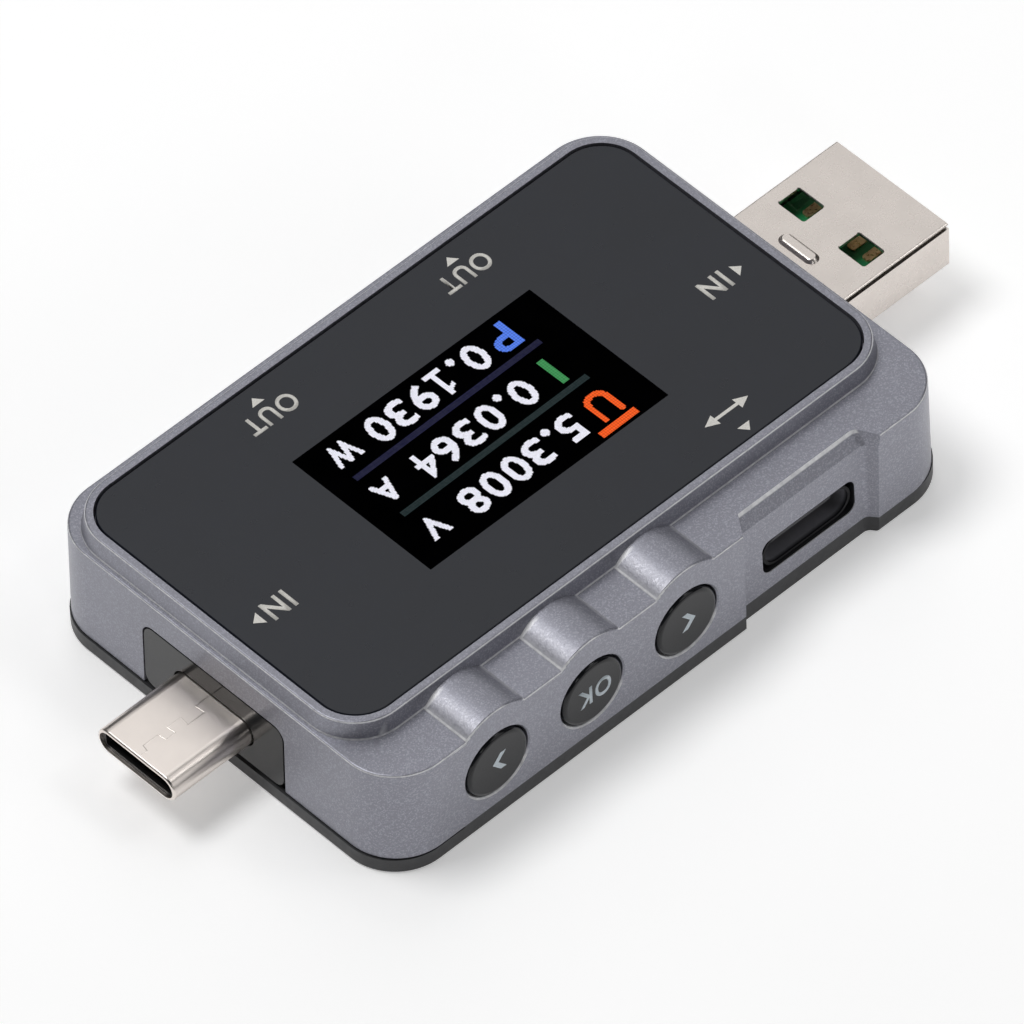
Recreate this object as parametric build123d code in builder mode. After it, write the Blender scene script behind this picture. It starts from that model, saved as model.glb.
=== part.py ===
from build123d import *
import os

os.makedirs("parts", exist_ok=True)

# USB power meter, millimetres. The origin is on the flat underside, below the middle of the casing.
# +X points to the USB-A plug, +Y to the long side with the two outlets, +Z up to the display panel.

# ---- casing ----
BODY_L = 57.0            # at the parting line
SHOULDER_L = 56.52       # the two ends lean in towards the top
BODY_W = 37.42           # the long sides stand upright
CORNER_R = 4.6
WALL = 1.5
PARTING_Z = 1.5          # top of the bottom cover
COVER_LIP = 0.15         # the cover stands proud of the shell at both ends
COVER_R = 0.2            # lower edge of the cover
COVER_SEAM = (0.3, 0.12)  # depth and height of the open seam at the USB-C end
COVER_SEAM_X = -21.5
SHOULDER_Z = 10.4
TOP_Z = 12.0
CEILING_Z = 9.3
EDGE_R = 0.2             # broken outer edges

# ---- raised display plateau, its pocket and the panel ----
PANEL_X = -0.2
PANEL_Y = 1.7
POCKET_L = 53.3
POCKET_W = 29.9
POCKET_R = 3.5
POCKET_FLOOR_Z = 10.8
PLATEAU_L = 55.34        # at the shoulder
PLATEAU_W = 31.86
PLATEAU_R = 4.5
PLATEAU_TAPER = 13       # degrees
PANEL_GAP = 0.16
PANEL_TOP_Z = 11.9
ADHESIVE_T = 0.15

# ---- buttons on the near long side ----
BUTTON_XS = (-18.1, -8.6, 0.9)
BUTTON_NAMES = ("left", "middle", "right")
BUTTON_Z = 5.82
BUTTON_R = 2.98
BUTTON_HOLE_R = 3.13
HOLE_EDGE = 0.12         # broken edge of the button holes
BUTTON_TRAVEL = 0.3
CAP_PROUD = 0.12         # how far the cap's face stands out of the wall
CAP_EDGE_R = 0.38
FLANGE_W = 8.2           # the flange's two wings keep the cap behind the wall
FLANGE_H = 6.1
FLANGE_DEPTH = 0.6
FLANGE_SLACK = 0.22      # between the flange and the wall
STEM_R = 1.3
STEM_END_Y = -16.05
PLUNGER_END_Y = -14.85
PLUNGER_W = 1.8
PLUNGER_H = 0.9
PLUNGER_Z = 6.15
SWITCH_FRONT_Y = -15.4
SWITCH_L = 4.6
SWITCH_DEPTH = 2.1
SWITCH_H = 1.8
HUMP_HALF = 2.92         # half the chord of the arched hump above each button
HUMP_H = 1.05

# ---- connectors ----
AXIS_Y = 0.4             # both plugs lie on this line
BOARD_Z = 3.75
BOARD_T = 1.6
BOARD_L = 50.2
BOARD_W = 31.8
BOARD_X = -0.7
BOARD_Y = 0.5
TAB_W = 11.1             # the board's tongue inside the USB-A plug
TAB_ROOT_X = 24.0
TAB_TIP_X = 39.9
NOTCH = 0.3              # extra width of the board's cutouts around the sockets
A_SHEET = 0.3            # USB-A plug, standard outer size 12.0 x 4.5
A_PLUG_W = 12.0
A_PLUG_H = 4.5
A_TIP_X = 40.65
A_ROOT_X = 24.6
A_OUTER_R = 0.28
WINDOW_X = 34.3          # windows in the top and bottom of the USB-A plug
WINDOW_Y = 3.19
WINDOW_L = 2.15
WINDOW_W = 2.75
WINDOW_R = 0.2
WINDOW_EDGE = 0.06
SEAM_DROP = 0.1          # the folded sheet's seam, below the top edge of the near side
SEAM_H = 0.36
SEAM_DEPTH = 0.3
RIB_X = 31.05            # pressed rib near the root
RIB_Y = 0.5
RIB_L = 3.9
RIB_W = 1.3
RIB_H = 0.3
INSIDE_W = 10.8          # plastic parts inside the USB-A plug
STOP_L = 5.8
A_CONTACTS = ((37.25, 3.65), (36.9, 1.0), (36.9, -1.1), (37.25, -2.7))
A_CONTACT_LENS = (4.3, 3.6, 3.6, 4.3)
A_CONTACT_W = 0.8
C_SHEET = 0.25           # USB-C plug, standard outer size 8.25 x 2.4
C_PLUG_W = 8.25
C_PLUG_H = 2.4
C_TIP_X = -36.1
C_ROOT_X = -22.6
C_TIP_R = 0.18
CAVITY_W = 6.9
CAVITY_H = 1.25
CAVITY_END_X = -29.6
STRIP_T = 0.14
STRIP_W = 0.22
C_SOCKET_W = 8.94        # USB-C socket shell, outer
C_SOCKET_H = 3.16
C_SOCKET_LEN = 7.3
TONGUE_W = 6.69
TONGUE_T = 0.7
BLOCK_LEN = 1.6
PAD_T = 0.06
PAD_W = 0.25
C_PITCH = 0.5
C_COUNT = 12
DATA_X = 14.1            # USB-C data socket, near side
DATA_FRONT_Y = -17.6
SOCKET_Z = 4.8
C_OUT_X = -10.0          # USB-C outlet, far side
A_OUT_X = 9.5            # USB-A outlet, far side
A_OUT_Z = 5.9
A_OUT_W = 13.1
A_OUT_H = 5.7
A_OUT_LEN = 13.3
A_TONGUE_Z = 7.1
A_TONGUE_T = 1.84
OUT_FRONT_Y = 18.45
SLOT_W = 9.4             # openings in the casing for USB-C sockets
SLOT_H = 3.35
SLOT_R = 0.85

# ---- display module ----
LCD_X = -2.3
LCD_Y = 1.85
LCD_L = 31.0
LCD_W = 17.6
LCD_TOP_Z = 10.7
GLASS_T = 0.8
LEDGE_L = 1.6            # ledge of the lower sheet that carries the flex
BACKLIGHT_T = 0.8
FLEX_T = 0.12
FLEX_HALF_W = 4.5
WELL_L = LCD_L + 2.4     # opening in the shell under the panel
WELL_W = LCD_W + 0.4
WELL_X = LCD_X - 1.0

# ---- end plate around the USB-C plug ----
PLATE_W = 15.1
PLATE_TOP_Z = 7.95
PLATE_GAP = 0.16
PLATE_R = 1.15
PLUG_GAP = 0.15          # between the plug and its hole in the plate
FLANGE_T = 0.7

# ---- fasteners and supports ----
POST_XS = (-23.3, 22.6)
POST_YS = (-12.6, 13.4)
POST_R = 2.1
STUB_POINTS = ((-19.5, 12.6), (20.4, 9.3), (-13.45, -13.9), (21.2, -7.6))
STUB_R = 1.1             # stubs in the shell, above the board
PILLAR_R = 1.2           # pillars on the cover, below the board
ROOT = 0.3               # how far inner features run into the ceiling
SCREW_R = 1.0
SCREW_HEAD_R = 1.9
SCREW_HEAD_H = 1.0
SCREW_LEN = 6.0

board_top = BOARD_Z + BOARD_T
board_mid = BOARD_Z + BOARD_T / 2
wall_y = BODY_W / 2
inner_y = wall_y - WALL
inner_x = BODY_L / 2 - WALL
a_plug_z = board_top                              # the contact plane is the middle of the shell

# ---- recess around the data socket: plan outlines at the shoulder and lower down ----
RECESS_TOP = ((6.1, -19.6), (8.0, -16.83), (19.7, -16.83), (21.2, -19.6))
RECESS_SLOPE_Z = 9.25
RECESS_WALL = ((6.2, -19.6), (7.5, -17.7), (19.75, -17.7), (21.15, -19.6))
RECESS_FOOT = ((6.2, -19.6), (7.3, -18.0), (19.85, -18.0), (21.1, -19.6))
RECESS_R = 0.7
RECESS_PAD_W = 15.0      # thickens the recess wall from inside
RECESS_PAD_T = 1.2
RECESS_PAD_Y = -17.1


def recess_outline(z, corners):
    """The recess in plan at one height, with its right-hand inner corner rounded."""
    with BuildSketch(Plane.XY.offset(z), mode=Mode.PRIVATE) as outline:
        with BuildLine():
            Polyline(*corners, close=True)
        make_face()
        inner_corners = outline.vertices().group_by(Axis.Y)[-1]
        fillet(inner_corners.sort_by(Axis.X)[-1], RECESS_R)
    return outline.sketch.face()


def cut_recess():
    """Cut the sloped top, the wall and the foot of the data socket's recess."""
    levels = (
        (TOP_Z, RECESS_TOP),
        (SHOULDER_Z, RECESS_TOP),
        (RECESS_SLOPE_Z, RECESS_WALL),
        (-0.5, RECESS_FOOT),
    )
    sections = [recess_outline(z, corners) for z, corners in levels]
    for upper, lower in zip(sections, sections[1:]):
        loft(sections=[lower, upper], ruled=True, mode=Mode.SUBTRACT)


def casing_block():
    """The outer block of the shell, from the parting line up to the shoulder."""
    outlines = []
    for z, length in ((PARTING_Z, BODY_L), (SHOULDER_Z, SHOULDER_L)):
        with BuildSketch(Plane.XY.offset(z), mode=Mode.PRIVATE) as outline:
            RectangleRounded(length, BODY_W, CORNER_R)
        outlines.append(outline.sketch.face())
    loft(sections=outlines, ruled=True)


def post_points():
    """The four places where a cover screw enters a post."""
    return [(x, y) for x in POST_XS for y in POST_YS]


def save(builder, label):
    """Label a finished piece and write it to parts/."""
    builder.part.label = label
    export_step(builder.part, f"parts/{label}.step")


# ---------------------------------------------------------------- hump, part of the top shell
hump_r = (HUMP_HALF ** 2 + HUMP_H ** 2) / (2 * HUMP_H)
with BuildPart() as hump:
    with BuildSketch(Plane.XZ.offset(wall_y)):
        with Locations((0, SHOULDER_Z + HUMP_H - hump_r)):
            Circle(hump_r)
        with Locations((0, SHOULDER_Z - 0.4)):
            Rectangle(3 * hump_r, 3 * hump_r, align=(Align.CENTER, Align.MAX), mode=Mode.SUBTRACT)
    extrude(amount=-(wall_y - 13.8))
    near_arc = hump.edges().filter_by(GeomType.CIRCLE).sort_by(Axis.Y)[0]
    fillet(near_arc, EDGE_R)

# ---------------------------------------------------------------- top shell
with BuildPart() as top_shell:
    # side walls with a broken top edge
    casing_block()
    fillet(top_shell.faces().sort_by(Axis.Z)[-1].edges(), EDGE_R)
    # raised plateau that frames the display panel
    with BuildSketch(Plane.XY.offset(SHOULDER_Z)):
        with Locations((PANEL_X, PANEL_Y)):
            RectangleRounded(PLATEAU_L, PLATEAU_W, PLATEAU_R)
    extrude(amount=TOP_Z - SHOULDER_Z, taper=PLATEAU_TAPER)
    fillet(top_shell.faces().sort_by(Axis.Z)[-1].edges(), EDGE_R)
    # arched humps, one above each button
    with Locations(*[(x, 0, 0) for x in BUTTON_XS]):
        add(hump.part)
    # inside: one cavity, and a pad that thickens the recess wall
    with BuildSketch(Plane.XY.offset(PARTING_Z)):
        RectangleRounded(BODY_L - 2 * WALL, BODY_W - 2 * WALL, CORNER_R - WALL)
    extrude(amount=CEILING_Z - PARTING_Z, mode=Mode.SUBTRACT)
    with BuildSketch(Plane.XY.offset(PARTING_Z)):
        with Locations((DATA_X, RECESS_PAD_Y)):
            Rectangle(RECESS_PAD_W, RECESS_PAD_T)
    extrude(amount=CEILING_Z - PARTING_Z + ROOT)
    cut_recess()
    # posts for the cover screws and stubs that hold the board down
    with BuildSketch(Plane.XY.offset(PARTING_Z)):
        with Locations(*post_points()):
            Circle(POST_R)
    extrude(amount=CEILING_Z - PARTING_Z + ROOT)
    with BuildSketch(Plane.XY.offset(board_top)):
        with Locations(*STUB_POINTS):
            Circle(STUB_R)
    extrude(amount=CEILING_Z - board_top + ROOT)
    with Locations(*[(x, y, PARTING_Z) for x, y in post_points()]):
        Cylinder(SCREW_R, SCREW_LEN, align=(Align.CENTER, Align.CENTER, Align.MIN), mode=Mode.SUBTRACT)
    # pocket for the panel, and the opening through which the display looks up
    with BuildSketch(Plane.XY.offset(POCKET_FLOOR_Z)):
        with Locations((PANEL_X, PANEL_Y)):
            RectangleRounded(POCKET_L, POCKET_W, POCKET_R)
    extrude(amount=2.0, mode=Mode.SUBTRACT)
    with BuildSketch(Plane.XY.offset(CEILING_Z - 0.5)):
        with Locations((WELL_X, LCD_Y)):
            Rectangle(WELL_L, WELL_W)
    extrude(amount=2.5, mode=Mode.SUBTRACT)
    # button holes
    with BuildSketch(Plane.XZ.offset(BODY_W / 2 + 0.5)):
        with Locations(*[(x, BUTTON_Z) for x in BUTTON_XS]):
            Circle(BUTTON_HOLE_R)
    extrude(amount=-3.0, mode=Mode.SUBTRACT)
    hole_rims = top_shell.edges().filter_by(GeomType.CIRCLE)
    hole_rims = hole_rims.filter_by(lambda e: abs(e.radius - BUTTON_HOLE_R) < 0.001)
    chamfer(hole_rims.filter_by(lambda e: e.center().Y < -wall_y + 0.01), HOLE_EDGE)
    # data socket opening
    with BuildSketch(Plane.XZ.offset(BODY_W / 2 + 0.5)):
        with Locations((DATA_X, SOCKET_Z)):
            RectangleRounded(SLOT_W, SLOT_H, SLOT_R)
    extrude(amount=-3.5, mode=Mode.SUBTRACT)
    # outlets on the far side
    with BuildSketch(Plane.XZ.offset(-(BODY_W / 2 + 0.5))):
        with Locations((C_OUT_X, SOCKET_Z)):
            SlotOverall(SLOT_W, SLOT_H)
        with Locations((A_OUT_X, A_OUT_Z)):
            RectangleRounded(A_OUT_W + 0.24, A_OUT_H + 0.24, 0.4)
    extrude(amount=2.6, mode=Mode.SUBTRACT)
    # USB-A plug hole, and the opening that the end plate fills
    with BuildSketch(Plane.YZ.offset(inner_x - 1.0)):
        with Locations((AXIS_Y, a_plug_z)):
            RectangleRounded(A_PLUG_W + 0.2, A_PLUG_H + 0.2, 0.6)
    extrude(amount=4.0, mode=Mode.SUBTRACT)
    with BuildSketch(Plane.YZ.offset(-inner_x + 1.0)) as plate_hole:
        with Locations((AXIS_Y, (PLATE_TOP_Z + PARTING_Z) / 2 - 2)):
            Rectangle(PLATE_W, PLATE_TOP_Z - PARTING_Z + 4)
        fillet(plate_hole.vertices().group_by(Axis.Z)[-1], PLATE_R)
    extrude(amount=-4.0, mode=Mode.SUBTRACT)
save(top_shell, "top_shell")

# ---------------------------------------------------------------- bottom cover
with BuildPart() as bottom_cover:
    with BuildSketch(Plane.XY):
        RectangleRounded(BODY_L + 2 * COVER_LIP, BODY_W, CORNER_R)
    extrude(amount=PARTING_Z)
    fillet(bottom_cover.faces().sort_by(Axis.Z)[0].edges(), COVER_R)
    # the seam stands open at the USB-C end
    seam_depth, seam_height = COVER_SEAM
    with BuildSketch(Plane.XY.offset(PARTING_Z - seam_height)):
        with Locations((COVER_SEAM_X, 0)):
            Rectangle(20.0, 2 * BODY_W, align=(Align.MAX, Align.CENTER))
        RectangleRounded(
            BODY_L + 2 * COVER_LIP - 2 * seam_depth,
            BODY_W - 2 * seam_depth,
            CORNER_R - seam_depth,
            mode=Mode.SUBTRACT,
        )
    extrude(amount=seam_height + 0.1, mode=Mode.SUBTRACT)
    # locating lip inside the shell, left out at the end plate and the data socket
    with BuildSketch(Plane.XY.offset(PARTING_Z)):
        RectangleRounded(2 * inner_x - 0.2, 2 * inner_y - 0.2, CORNER_R - WALL)
        RectangleRounded(2 * inner_x - 2.2, 2 * inner_y - 2.2, CORNER_R - WALL - 1, mode=Mode.SUBTRACT)
        with Locations((-inner_x, AXIS_Y)):
            Rectangle(6.0, 18.0, mode=Mode.SUBTRACT)
        with Locations((DATA_X, -inner_y)):
            Rectangle(RECESS_PAD_W + 0.6, 4.0, mode=Mode.SUBTRACT)
    extrude(amount=0.7)
    # pillars under the board
    with BuildSketch(Plane.XY.offset(PARTING_Z)):
        with Locations(*STUB_POINTS):
            Circle(PILLAR_R)
    extrude(amount=BOARD_Z - PARTING_Z)
    cut_recess()
    # countersunk screw holes from below
    with Locations(Plane.XY.rotated((180, 0, 0))):
        with Locations(*[(x, -y) for x, y in post_points()]):
            CounterSinkHole(
                radius=SCREW_R + 0.1, counter_sink_radius=SCREW_HEAD_R + 0.3, counter_sink_angle=90
            )
save(bottom_cover, "bottom_cover")

# ---------------------------------------------------------------- end plate around the USB-C plug
with BuildPart() as end_plate:
    casing_block()
    face_w = PLATE_W - 2 * PLATE_GAP
    face_h = PLATE_TOP_Z - PARTING_Z - 2 * PLATE_GAP
    with BuildSketch(Plane.YZ.offset(-inner_x + 0.05)) as plate_face:
        with Locations((AXIS_Y, PARTING_Z + PLATE_GAP + face_h / 2)):
            Rectangle(face_w, face_h)
        fillet(plate_face.vertices().group_by(Axis.Z)[-1], PLATE_R - PLATE_GAP)
        fillet(plate_face.vertices().group_by(Axis.Z)[0], 0.5)
    extrude(amount=-3.0, mode=Mode.INTERSECT)
    with BuildSketch(Plane.YZ.offset(-inner_x + 0.35)):
        with Locations((AXIS_Y, 5.15)):
            RectangleRounded(PLATE_W + 2.0, 7.1, 0.8)
    extrude(amount=FLANGE_T)
    with BuildSketch(Plane.YZ.offset(-inner_x + 0.04)):
        with Locations((AXIS_Y, 4.7)):
            Rectangle(face_w - 0.5, 6.0)
    extrude(amount=0.4)
    with BuildSketch(Plane.YZ.offset(-inner_x + 3.0)):
        with Locations((AXIS_Y, board_mid)):
            SlotOverall(C_PLUG_W + 2 * PLUG_GAP, C_PLUG_H + 2 * PLUG_GAP)
    extrude(amount=-8.0, mode=Mode.SUBTRACT)
save(end_plate, "end_plate")

# ---------------------------------------------------------------- panel and its adhesive
panel_l = POCKET_L - 2 * PANEL_GAP
panel_w = POCKET_W - 2 * PANEL_GAP
panel_bottom = POCKET_FLOOR_Z + ADHESIVE_T
with BuildPart() as front_panel:
    with BuildSketch(Plane.XY.offset(panel_bottom)):
        with Locations((PANEL_X, PANEL_Y)):
            RectangleRounded(panel_l, panel_w, POCKET_R - PANEL_GAP)
    extrude(amount=PANEL_TOP_Z - panel_bottom)
    chamfer(front_panel.faces().sort_by(Axis.Z)[-1].edges(), 0.08)
save(front_panel, "front_panel")

with BuildPart() as panel_adhesive:
    with BuildSketch(Plane.XY.offset(POCKET_FLOOR_Z)):
        with Locations((PANEL_X, PANEL_Y)):
            RectangleRounded(panel_l - 0.4, panel_w - 0.4, POCKET_R - 0.4)
        with Locations((WELL_X, LCD_Y)):
            Rectangle(WELL_L + 0.4, WELL_W + 0.4, mode=Mode.SUBTRACT)
    extrude(amount=ADHESIVE_T)
save(panel_adhesive, "panel_adhesive")

# ---------------------------------------------------------------- display module
glass_bottom = LCD_TOP_Z - GLASS_T
with BuildPart() as lcd_glass:
    with BuildSketch(Plane.XY.offset(glass_bottom)):
        with Locations((LCD_X, LCD_Y)):
            Rectangle(LCD_L, LCD_W)
    extrude(amount=GLASS_T)
    # the upper sheet stops short, so that the lower one offers a ledge for the flex
    with BuildSketch(Plane.XY.offset(LCD_TOP_Z - GLASS_T / 2)):
        with Locations((LCD_X - LCD_L / 2 + LEDGE_L / 2, LCD_Y)):
            Rectangle(LEDGE_L, LCD_W)
    extrude(amount=GLASS_T / 2, mode=Mode.SUBTRACT)
save(lcd_glass, "lcd_glass")

with BuildPart() as lcd_backlight:
    with BuildSketch(Plane.XY.offset(glass_bottom - BACKLIGHT_T)):
        with Locations((LCD_X + LEDGE_L / 2 + 0.1, LCD_Y)):
            Rectangle(LCD_L - LEDGE_L - 0.2, LCD_W)
    extrude(amount=BACKLIGHT_T)
    fillet(lcd_backlight.edges().filter_by(Axis.Z), 0.4)
save(lcd_backlight, "lcd_backlight")

with BuildPart() as lcd_flex:
    with BuildSketch(Plane.XZ.offset(-LCD_Y)):
        with BuildLine():
            FilletPolyline(
                (-16.3, glass_bottom - FLEX_T / 2),
                (-19.2, glass_bottom - FLEX_T / 2),
                (-19.2, board_top + FLEX_T / 2),
                (-15.6, board_top + FLEX_T / 2),
                radius=1.0,
            )
        trace(line_width=FLEX_T)
    extrude(amount=FLEX_HALF_W, both=True)
save(lcd_flex, "lcd_flex")

# ---------------------------------------------------------------- main board
with BuildPart() as main_board:
    with BuildSketch(Plane.XY.offset(BOARD_Z)):
        with Locations((BOARD_X, BOARD_Y)):
            Rectangle(BOARD_L, BOARD_W)
        # the tongue inside the USB-A plug is part of the board
        with Locations(((TAB_TIP_X + TAB_ROOT_X) / 2, AXIS_Y)):
            Rectangle(TAB_TIP_X - TAB_ROOT_X, TAB_W)
        # cutouts for the USB-C plug, both outlets and the data socket
        with Locations((-25.8, AXIS_Y)):
            Rectangle(6.6, C_PLUG_W + 0.5, mode=Mode.SUBTRACT)
        with Locations((C_OUT_X, 16.0)):
            Rectangle(C_SOCKET_W + NOTCH, 10.0, mode=Mode.SUBTRACT)
        with Locations((A_OUT_X, 15.0)):
            Rectangle(A_OUT_W + NOTCH, 20.0, mode=Mode.SUBTRACT)
        with Locations((DATA_X, -15.4)):
            Rectangle(C_SOCKET_W + NOTCH, 10.8, mode=Mode.SUBTRACT)
        with Locations(*post_points()):
            Circle(POST_R + 0.25, mode=Mode.SUBTRACT)
    extrude(amount=BOARD_T)
save(main_board, "main_board")

# ---------------------------------------------------------------- plugs
with BuildPart() as usb_a_plug_shell:
    with BuildSketch(Plane.YZ.offset(A_ROOT_X)):
        with Locations((AXIS_Y, a_plug_z)):
            RectangleRounded(A_PLUG_W, A_PLUG_H, A_OUTER_R)
            RectangleRounded(A_PLUG_W - 2 * A_SHEET, A_PLUG_H - 2 * A_SHEET, 0.1, mode=Mode.SUBTRACT)
    extrude(amount=A_TIP_X - A_ROOT_X)
    with BuildSketch(Plane.XY.offset(0)):
        with Locations((WINDOW_X, AXIS_Y + WINDOW_Y), (WINDOW_X, AXIS_Y - WINDOW_Y)):
            RectangleRounded(WINDOW_L, WINDOW_W, WINDOW_R)
    extrude(amount=TOP_Z, mode=Mode.SUBTRACT)
    plug_top = usb_a_plug_shell.faces().sort_by(Axis.Z)[-1]
    chamfer([edge for wire in plug_top.inner_wires() for edge in wire.edges()], WINDOW_EDGE)
    # the seam where the folded sheet closes, just below the near top edge
    with BuildSketch(Plane.YZ.offset(A_ROOT_X)):
        with Locations((AXIS_Y - A_PLUG_W / 2, a_plug_z + A_PLUG_H / 2 - SEAM_DROP)):
            Rectangle(2 * SEAM_DEPTH, SEAM_H, align=(Align.CENTER, Align.MAX))
    extrude(amount=A_TIP_X - A_ROOT_X, mode=Mode.SUBTRACT)
    # pressed rib near the root
    with BuildSketch(Plane.XY.offset(a_plug_z + A_PLUG_H / 2 - 0.05)):
        with Locations(Location((RIB_X, RIB_Y, 0), (0, 0, 90))):
            SlotOverall(RIB_L, RIB_W)
    extrude(amount=RIB_H + 0.05, taper=35)
    rib_top = usb_a_plug_shell.faces().sort_by(Axis.Z)[-1]
    fillet(rib_top.edges(), 0.25)
save(usb_a_plug_shell, "usb_a_plug_shell")

with BuildPart() as usb_a_plug_support:
    floor_z = a_plug_z - A_PLUG_H / 2 + A_SHEET
    with BuildSketch(Plane.XY.offset(floor_z)):
        with Locations(((A_TIP_X + A_ROOT_X) / 2 - 0.2, AXIS_Y)):
            RectangleRounded(A_TIP_X - A_ROOT_X - 1.4, INSIDE_W, 0.4)
    extrude(amount=BOARD_Z - floor_z)
save(usb_a_plug_support, "usb_a_plug_support")

# plastic stop above the board that closes the back of the plug
with BuildPart() as usb_a_plug_stop:
    with BuildSketch(Plane.YZ.offset(A_ROOT_X + 0.6)):
        with Locations((AXIS_Y, (board_top + a_plug_z + A_PLUG_H / 2 - A_SHEET) / 2)):
            Rectangle(INSIDE_W, A_PLUG_H / 2 - A_SHEET)
    extrude(amount=STOP_L)
    chamfer(usb_a_plug_stop.edges().filter_by(Axis.X), 0.2)
save(usb_a_plug_stop, "usb_a_plug_stop")

with BuildPart() as usb_a_plug_contacts:
    with BuildSketch(Plane.XY.offset(board_top)):
        for (contact_x, contact_y), contact_len in zip(A_CONTACTS, A_CONTACT_LENS):
            with Locations((contact_x, AXIS_Y + contact_y)):
                RectangleRounded(contact_len, A_CONTACT_W, 0.25)
    extrude(amount=0.15)
save(usb_a_plug_contacts, "usb_a_plug_contacts")

with BuildPart() as usb_c_plug_shell:
    with BuildSketch(Plane.YZ.offset(C_TIP_X)):
        with Locations((AXIS_Y, board_mid)):
            SlotOverall(C_PLUG_W, C_PLUG_H)
            SlotOverall(C_PLUG_W - 2 * C_SHEET, C_PLUG_H - 2 * C_SHEET, mode=Mode.SUBTRACT)
    extrude(amount=C_ROOT_X - C_TIP_X)
    tip_rim = usb_c_plug_shell.faces().sort_by(Axis.X)[0].outer_wire().edges()
    fillet(tip_rim, C_TIP_R)
save(usb_c_plug_shell, "usb_c_plug_shell")


def contact_ys(axis_y):
    """The twelve contact lines of a USB-C connector."""
    return [axis_y + (i - (C_COUNT - 1) / 2) * C_PITCH for i in range(C_COUNT)]


with BuildPart() as usb_c_plug_contacts:
    for y in contact_ys(AXIS_Y):
        for side in (1, -1):
            strip_z = board_mid + side * (CAVITY_H - STRIP_T) / 2
            tail_z = board_mid + side * (BOARD_T + STRIP_T) / 2
            with BuildSketch(Plane.XZ.offset(-y)):
                with BuildLine():
                    FilletPolyline(
                        (C_TIP_X + 1.2, strip_z),
                        (C_ROOT_X - 0.35, strip_z),
                        (C_ROOT_X + 0.1, tail_z),
                        (C_ROOT_X + 1.6, tail_z),
                        radius=0.15,
                    )
                trace(line_width=STRIP_T)
            extrude(amount=STRIP_W / 2, both=True)
save(usb_c_plug_contacts, "usb_c_plug_contacts")

with BuildPart() as usb_c_plug_insulator:
    with BuildSketch(Plane.YZ.offset(C_TIP_X + 0.25)):
        with Locations((AXIS_Y, board_mid)):
            SlotOverall(C_PLUG_W - 2 * C_SHEET, C_PLUG_H - 2 * C_SHEET)
    extrude(amount=C_ROOT_X - 0.5 - C_TIP_X - 0.25)
    with BuildSketch(Plane.YZ.offset(C_TIP_X)):
        with Locations((AXIS_Y, board_mid)):
            RectangleRounded(CAVITY_W, CAVITY_H, 0.2)
    extrude(amount=CAVITY_END_X - C_TIP_X, mode=Mode.SUBTRACT)
    # channels for the contacts behind the cavity
    with BuildSketch(Plane.YZ.offset(CAVITY_END_X)):
        for y in contact_ys(AXIS_Y):
            with Locations(
                (y, board_mid + (CAVITY_H - STRIP_T) / 2), (y, board_mid - (CAVITY_H - STRIP_T) / 2)
            ):
                Rectangle(STRIP_W, STRIP_T)
    extrude(amount=C_ROOT_X - CAVITY_END_X, mode=Mode.SUBTRACT)
save(usb_c_plug_insulator, "usb_c_plug_insulator")

# ---------------------------------------------------------------- USB-C sockets
def usb_c_socket(prefix, x, front_y, inward):
    """Write the shell, tongue and contacts of one USB-C socket that faces along -inward."""
    plane = Plane.XZ.offset(-front_y)
    with BuildPart() as shell:
        with BuildSketch(plane):
            with Locations((x, SOCKET_Z)):
                SlotOverall(C_SOCKET_W, C_SOCKET_H)
                SlotOverall(C_SOCKET_W - 2 * C_SHEET, C_SOCKET_H - 2 * C_SHEET, mode=Mode.SUBTRACT)
        extrude(amount=-inward * C_SOCKET_LEN)
    save(shell, f"{prefix}_shell")
    back_y = front_y + inward * C_SOCKET_LEN
    with BuildPart() as tongue:
        with BuildSketch(Plane.XZ.offset(-back_y)):
            with Locations((x, SOCKET_Z)):
                SlotOverall(C_SOCKET_W - 2 * C_SHEET, C_SOCKET_H - 2 * C_SHEET)
        extrude(amount=inward * BLOCK_LEN)
        with BuildSketch(Plane.XZ.offset(-back_y)):
            with Locations((x, SOCKET_Z)):
                RectangleRounded(TONGUE_W, TONGUE_T, 0.15)
        extrude(amount=inward * (C_SOCKET_LEN - 0.9))
    save(tongue, f"{prefix}_tongue")
    with BuildPart() as contacts:
        with BuildSketch(Plane.XZ.offset(-(back_y - inward * BLOCK_LEN))):
            for pad_x in contact_ys(x):
                with Locations(
                    (pad_x, SOCKET_Z + (TONGUE_T + PAD_T) / 2), (pad_x, SOCKET_Z - (TONGUE_T + PAD_T) / 2)
                ):
                    Rectangle(PAD_W, PAD_T)
        extrude(amount=inward * 4.0)
    save(contacts, f"{prefix}_contacts")


usb_c_socket("data_socket", DATA_X, DATA_FRONT_Y, 1)
usb_c_socket("usb_c_outlet", C_OUT_X, OUT_FRONT_Y, -1)

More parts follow.
